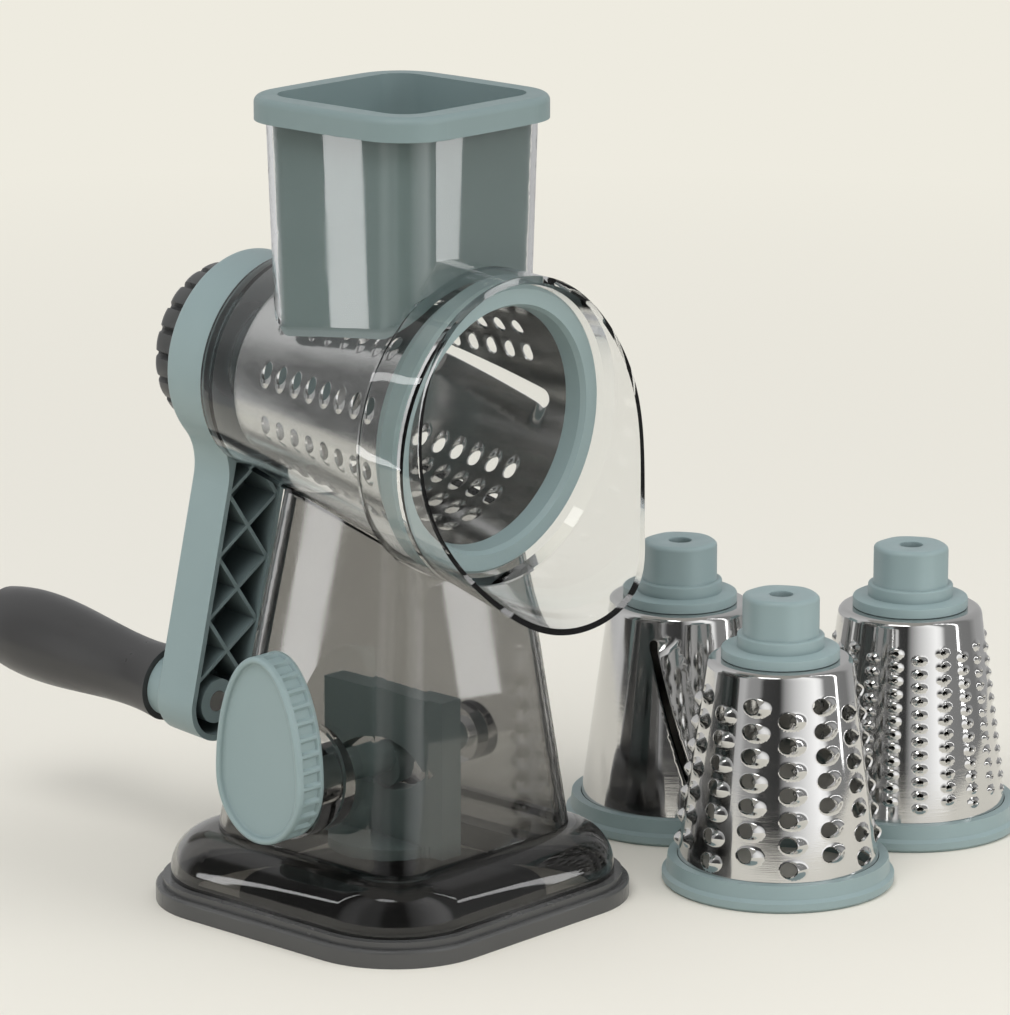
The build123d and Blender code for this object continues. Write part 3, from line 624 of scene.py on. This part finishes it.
def staggered(form, columns, rows, pitch, start):
    """(seam, holes) of columns of holes, every second column half a pitch higher.

    The first column stands a third of a step beside the viewer's side, and the seam between two columns."""
    step = 360 / columns
    holes = [(VIEW_ANGLE + step * (column + 1 / 3), start + (column % 2) * pitch / 2 + row * pitch, form)
             for column in range(columns) for row in range(rows)]
    return step * 5 / 6, holes


# ---- Lever knob ----------------------------------------------------------------
KNOB_HALF_WIDTH, KNOB_RISE, KNOB_DROP = 21.3, 45.5, 24.0
KNOB_BACK = Vector((-0.0573, 0.0, 0.0592))       # middle of the knob's back face
KNOB_NOTCHES = 30
NOTCH_STEPS = 12
NOTCH_DEPTH = 1.15
# (inset from the outline, distance from the back, share of the notches' depth)
KNOB_RINGS = [(0.9, 0.0, 0), (0.3, 0.2, 0), (0.0, 0.8, 0), (0.0, 2.0, 0), (0.0, 2.5, 1), (0.0, 6.2, 1),
              (0.0, 10.0, 1), (0.0, 10.5, 0), (0.0, 12.0, 0), (0.2, 12.7, 0), (0.7, 13.1, 0), (1.2, 13.2, 0),
              (1.7, 13.1, 0), (2.2, 12.7, 0), (2.4, 12.1, 0), (2.5, 11.5, 0), (2.8, 11.15, 0), (3.4, 11.0, 0)]


def egg_points(count):
    """Points evenly spaced along the knob's outline, and their outward normals."""
    angles = np.linspace(0, 2 * np.pi, 20001)
    rise = np.where(np.sin(angles) > 0, KNOB_RISE, KNOB_DROP)
    x, y = KNOB_HALF_WIDTH * np.cos(angles), rise * np.sin(angles)
    run = np.concatenate([[0], np.cumsum(np.hypot(np.diff(x), np.diff(y)))])
    wanted = np.interp(np.arange(count) / count * run[-1], run, angles)
    rise = np.where(np.sin(wanted) > 0, KNOB_RISE, KNOB_DROP)
    x, y = KNOB_HALF_WIDTH * np.cos(wanted), rise * np.sin(wanted)
    nx, ny = x / KNOB_HALF_WIDTH ** 2, y / rise ** 2
    size = np.hypot(nx, ny)
    return np.stack([x, y], -1), np.stack([nx / size, ny / size], -1)


def make_lever_knob(material):
    """The egg-shaped knob: a rounded lip round a sunk face, and notches all round its side."""
    count = KNOB_NOTCHES * NOTCH_STEPS
    outline, outward = egg_points(count)
    share = np.abs((np.arange(count) % NOTCH_STEPS) / NOTCH_STEPS - 0.5)
    notch = np.clip((0.37 - share) / 0.07, 0, 1)
    verts = []
    for inset, height, depth in KNOB_RINGS:
        ring = outline - outward * (inset + depth * notch * NOTCH_DEPTH)[:, None]
        verts += [KNOB_BACK + Vector((-height, -x, y)) * MM for x, y in ring]
    faces = ring_faces(len(KNOB_RINGS), count)
    knob = piece("lever_knob", verts, faces, material, "suction_lever", ["suction_knob"])
    knob.data.set_sharp_from_angle(angle=SHARP)


# ---- Turned pieces with lobes or flats -----------------------------------------
def turned_piece(name, rings, count, shape, place, material, body, node):
    """A closed form of rings (radius, height, share of shape), in millimetres from place.

    shape is what is added to the radius at each of the count points round the turn."""
    angles = 2 * np.pi * np.arange(count) / count
    verts = []
    for radius, height, share in rings:
        for r, a in zip(radius + share * shape, angles):
            verts.append(place @ (Vector((r * math.cos(a), r * math.sin(a), height)) * MM))
    item = piece(name, verts, ring_faces(len(rings), count), material, body, [node])
    item.data.set_sharp_from_angle(angle=SHARP)


def make_lock_knob(material):
    """The knurled knob: broad lobes with narrow notches, a sunk face and the stud in front."""
    lobes, steps, notch_depth, crown = 20, 14, 1.9, 0.5
    share = np.abs((np.arange(lobes * steps) % steps) / steps - 0.5)
    shape = -notch_depth * np.clip((share - 0.36) / 0.08, 0, 1) - crown * (share / 0.5) ** 2
    # (radius, depth from the outer face, share of the lobes)
    rings = [(23.0, 2.4, 0), (23.7, 2.2, 0), (24.2, 1.2, 0), (24.6, 0.3, 0), (25.4, 0.0, 0), (27.6, 0.0, 0),
             (29.0, 0.3, 0.5), (30.3, 1.3, 1), (31.0, 2.8, 1), (31.0, 13.8, 1), (30.4, 14.6, 1),
             (4.0, 14.6, 0), (4.0, 31.5, 0), (3.4, 32.1, 0)]
    back = drum_place() @ Matrix.Translation(Vector((0, 0, DRUM_STATION + KNOB_STATION)))
    turned_piece("knurled_knob", [(r, -z, s) for r, z, s in reversed(rings)], lobes * steps, shape, back,
                 material, "lock_knob", "lock_knob")


def make_spare_hubs(material):
    """Flange, step and drive boss, its six flats and corners well rounded."""
    count, flats, flat_depth = 144, 6, 0.25
    shape = flat_depth * np.cos(flats * 2 * np.pi * np.arange(count) / count)
    # (radius, height above the table, share of the flats), from the inner washer to the stud's bore
    rings = [(22.0, 82.1, 0), (22.0, 85.1, 0), (18.0, 85.1, 0), (18.0, 86.1, 0), (21.8, 86.1, 0),
             (22.0, 86.3, 0), (22.0, 89.2, 0), (21.8, 89.7, 0), (21.2, 90.0, 0), (16.6, 90.0, 0),
             (16.2, 90.3, 0), (16.2, 94.4, 0), (16.0, 94.8, 0), (15.6, 95.0, 0), (14.2, 95.0, 1),
             (14.05, 95.3, 1), (14.05, 108.2, 1), (13.9, 109.0, 1), (13.4, 109.6, 1), (12.7, 109.9, 1),
             (12.0, 110.0, 1), (5.0, 110.0, 0), (4.5, 109.8, 0), (4.3, 109.3, 0), (4.3, 96.0, 0)]
    for name, spot in SPARE_SPOTS.items():
        turned_piece(name + "_drive", rings, count, shape, Matrix.Translation((*spot, 0.0)), material, name,
                     name + "_hub")


# ---- Suction cup ---------------------------------------------------------------
def make_cup(material):
    """A soft cup with a thin sealing lip, pulled up in the middle by the yoke."""
    profile = [(0.2, 11.6), (8, 11.5), (19, 10.9), (30, 8.6), (40, 5.0), (48, 1.9), (52.5, 0.7),
               (55.4, 0.32), (56.0, 0.6), (55.9, 1.5), (55.0, 2.4), (52.0, 2.9), (49.0, 3.3), (46.5, 4.0),
               (38, 6.6), (28, 10.4), (22, 12.8), (16, 14.3), (13.6, 14.9), (13.0, 15.6), (13.0, 18.9),
               (12.4, 19.6), (11.4, 19.7), (0.2, 19.7)]
    verts, faces = lathe([(r * MM, z * MM) for r, z in profile], 96)
    cup = piece("rubber_suction_cup", verts, faces, material, None, ["suction_cup"])
    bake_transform(cup)


# ---- Surroundings --------------------------------------------------------------
def staged(name, verts, faces):
    """(object, node tree) of a mesh that belongs to the studio and not to the object."""
    mesh = bpy.data.meshes.new(name)
    mesh.from_pydata([tuple(v) for v in verts], [], faces)
    item = bpy.data.objects.new(name, mesh)
    bpy.context.scene.collection.objects.link(item)
    material = bpy.data.materials.new(name)
    material.use_nodes = True
    mesh.materials.append(material)
    return item, material.node_tree


def hidden_from(item, *rays):
    for ray in rays:
        setattr(item, "visible_" + ray, False)


def make_floor():
    """A pale floor that turns into the plain backdrop between 0.40 and 1.5 m from the object."""
    size = 6.0
    corners = [(-size, -size, 0), (size, -size, 0), (size, size, 0), (-size, size, 0)]
    _, tree = staged("floor", corners, [(0, 1, 2, 3)])
    shader = tree.nodes["Principled BSDF"]
    place = add(tree, "TexCoord").outputs["Object"]
    far = add(tree, "VectorMath", {0: place}, operation="LENGTH").outputs["Value"]
    tone = ramp(tree, spread(tree, far, 0.0, 1.0, 0.25, 2.2),
                [(0.0, (0.820, 0.786, 0.706)), (1.0, (0.880, 0.845, 0.765))])
    tree.links.new(tone, shader.inputs["Base Color"])
    shader.inputs["Roughness"].default_value = 0.9
    shader.inputs["Specular IOR Level"].default_value = 0.1
    share = math_node(tree, "MULTIPLY", seen_rays(tree), spread(tree, far, 0.0, 1.0, 0.40, 1.5))
    glow = add(tree, "Emission", {"Color": (*BACKDROP, 1.0), "Strength": 1.0})
    mix = add(tree, "MixShader", {0: share, 1: shader.outputs[0], 2: glow.outputs[0]})
    tree.links.new(mix.outputs[0], tree.nodes["Material Output"].inputs["Surface"])


# Studio cards round the object: (degrees from the viewer, towards the image's right; brightness)
CARDS = [(-180, 0.50), (-150, 0.60), (-120, 0.70), (-104, 0.60), (-98, 0.12), (-74, 0.08), (-66, 0.50),
         (-50, 0.62), (-40, 0.38), (-22, 0.36), (-14, 0.07), (12, 0.05), (20, 0.4), (34, 0.8), (60, 1.4),
         (66, 1.2), (72, 0.30), (104, 0.25), (114, 0.45), (150, 0.50), (180, 0.50)]
CARD_RADIUS, CARD_HEIGHT, CARD_SEGMENTS = 0.506, 0.9, 180


def make_cards():
    """A ring of soft cards that only polished surfaces reflect."""
    verts, faces = [], []
    for step in range(CARD_SEGMENTS):
        angle = 2 * math.pi * step / CARD_SEGMENTS
        x, y = CARD_RADIUS * math.cos(angle), CARD_RADIUS * math.sin(angle)
        verts += [(x, y, 0.001), (x, y, CARD_HEIGHT)]
        a, b = 2 * step, 2 * ((step + 1) % CARD_SEGMENTS)
        faces.append((a, b, b + 1, a + 1))
    ring, tree = staged("studio_cards", verts, faces)
    tree.nodes.remove(tree.nodes["Principled BSDF"])
    place = add(tree, "TexCoord").outputs["Object"]
    parts = add(tree, "SeparateXYZ", {0: place}).outputs
    towards = math.atan2(CAMERA_PLACE.y, CAMERA_PLACE.x)
    # turned so that the join of the arctangent lies behind the object
    x = math_node(tree, "ADD", math_node(tree, "MULTIPLY", parts["X"], math.cos(towards)),
                  math_node(tree, "MULTIPLY", parts["Y"], math.sin(towards)))
    y = math_node(tree, "SUBTRACT", math_node(tree, "MULTIPLY", parts["Y"], math.cos(towards)),
                  math_node(tree, "MULTIPLY", parts["X"], math.sin(towards)))
    share = spread(tree, math_node(tree, "ARCTAN2", y, x), 0.0, 1.0, -math.pi, math.pi)
    top = max(value for _, value in CARDS)
    tone = ramp(tree, share, [((angle + 180) / 360, value / top) for angle, value in CARDS])
    glow = add(tree, "Emission", {"Color": tone, "Strength": top})
    clear = add(tree, "BsdfTransparent")
    path = add(tree, "LightPath")
    bounced = math_node(tree, "GREATER_THAN", path.outputs["Glossy Depth"], 0.5)
    mix = add(tree, "MixShader", {0: bounced, 1: clear.outputs[0], 2: glow.outputs[0]})
    tree.links.new(mix.outputs[0], tree.nodes["Material Output"].inputs["Surface"])
    hidden_from(ring, "camera", "diffuse", "shadow", "volume_scatter")


# Bright strips inside the ring of cards: (name, x, y, width, brightness)
STRIPS = [("left_strip", -0.383, 0.324, 0.017, 6.5), ("right_strip", 0.331, -0.370, 0.019, 5.5)]
STRIP_LOW, STRIP_HEIGHT = 0.02, 0.8


def make_strips():
    """Two tall bright strips whose glint runs down the clear and smoky walls."""
    for name, x, y, wide, power in STRIPS:
        along = Vector((-y, x, 0)).normalized() * wide / 2
        foot, up = Vector((x, y, STRIP_LOW)), Vector((0, 0, STRIP_HEIGHT))
        strip, tree = staged(name, [foot - along, foot + along, foot + along + up, foot - along + up],
                             [(0, 1, 2, 3)])
        tree.nodes.remove(tree.nodes["Principled BSDF"])
        glow = add(tree, "Emission", {"Strength": power})
        tree.links.new(glow.outputs[0], tree.nodes["Material Output"].inputs["Surface"])
        hidden_from(strip, "camera", "diffuse", "shadow", "transmission", "volume_scatter")


def make_world():
    """Even light on everything, and for what the viewer sees the plain backdrop, darker overhead."""
    world = bpy.data.worlds.new("studio")
    bpy.context.scene.world = world
    world.use_nodes = True
    tree = world.node_tree
    tree.nodes.clear()
    light = add(tree, "Background", {"Color": (0.98, 1.0, 1.02, 1.0), "Strength": 0.70})
    up = add(tree, "SeparateXYZ", {0: add(tree, "TexCoord").outputs["Generated"]}).outputs["Z"]
    tone = ramp(tree, up, [(0.0, BACKDROP), (0.50, BACKDROP), (0.72, (0.30, 0.29, 0.27)),
                           (1.0, (0.42, 0.41, 0.38))])
    shown = add(tree, "Background", {"Color": tone, "Strength": 1.0})
    mix = add(tree, "MixShader", {0: seen_rays(tree), 1: light.outputs[0], 2: shown.outputs[0]})
    tree.links.new(mix.outputs[0], add(tree, "OutputWorld").inputs["Surface"])


def make_lamp(name, place, aim, size, watts, glossy):
    lamp = bpy.data.objects.new(name, bpy.data.lights.new(name, "AREA"))
    bpy.context.scene.collection.objects.link(lamp)
    lamp.location = place
    lamp.rotation_euler = (Vector(aim) - Vector(place)).to_track_quat("-Z", "Y").to_euler()
    lamp.data.shape = "DISK"
    lamp.data.size = size
    lamp.data.energy = watts
    lamp.visible_glossy = glossy
    hidden_from(lamp, "camera", "transmission")


def make_lights():
    make_lamp("key_lamp", (-1.6, -0.6, 2.4), (0.03, -0.03, 0.1), 1.6, 28.0, True)
    make_lamp("fill_lamp", (0.6, -2.0, 1.5), (0.05, -0.03, 0.1), 1.8, 17.0, False)


# ---- Make ----------------------------------------------------------------------
make_camera()
make_floor()
make_cards()
make_strips()
make_world()
make_lights()
materials = make_materials()
FINISHES = {
    "base_ring": "base", "pedestal": "smoky", "barrel_housing": "clear", "food_pusher": "pusher",
    "suction_yoke": "teal", "lock_shaft": "teal", "lock_cam": "teal",
    "crank_arm": "teal", "handle_pin": "rod_steel", "grip": "grip",
    "shredder_drum_hub": "teal", "shredder_drum_ring": "teal",
    "slicer_drum_ring": "teal", "coarse_drum_ring": "teal", "fine_drum_ring": "teal",
}
for node_name, finish_name in FINISHES.items():
    finish(node_name, materials[finish_name])
make_drums(materials)
make_lever_knob(materials["teal"])
make_lock_knob(materials["dark"])
make_spare_hubs(materials["teal"])
make_cup(materials["rubber"])

bpy.context.view_layer.update()
bpy.context.scene.view_settings.view_transform = "Standard"
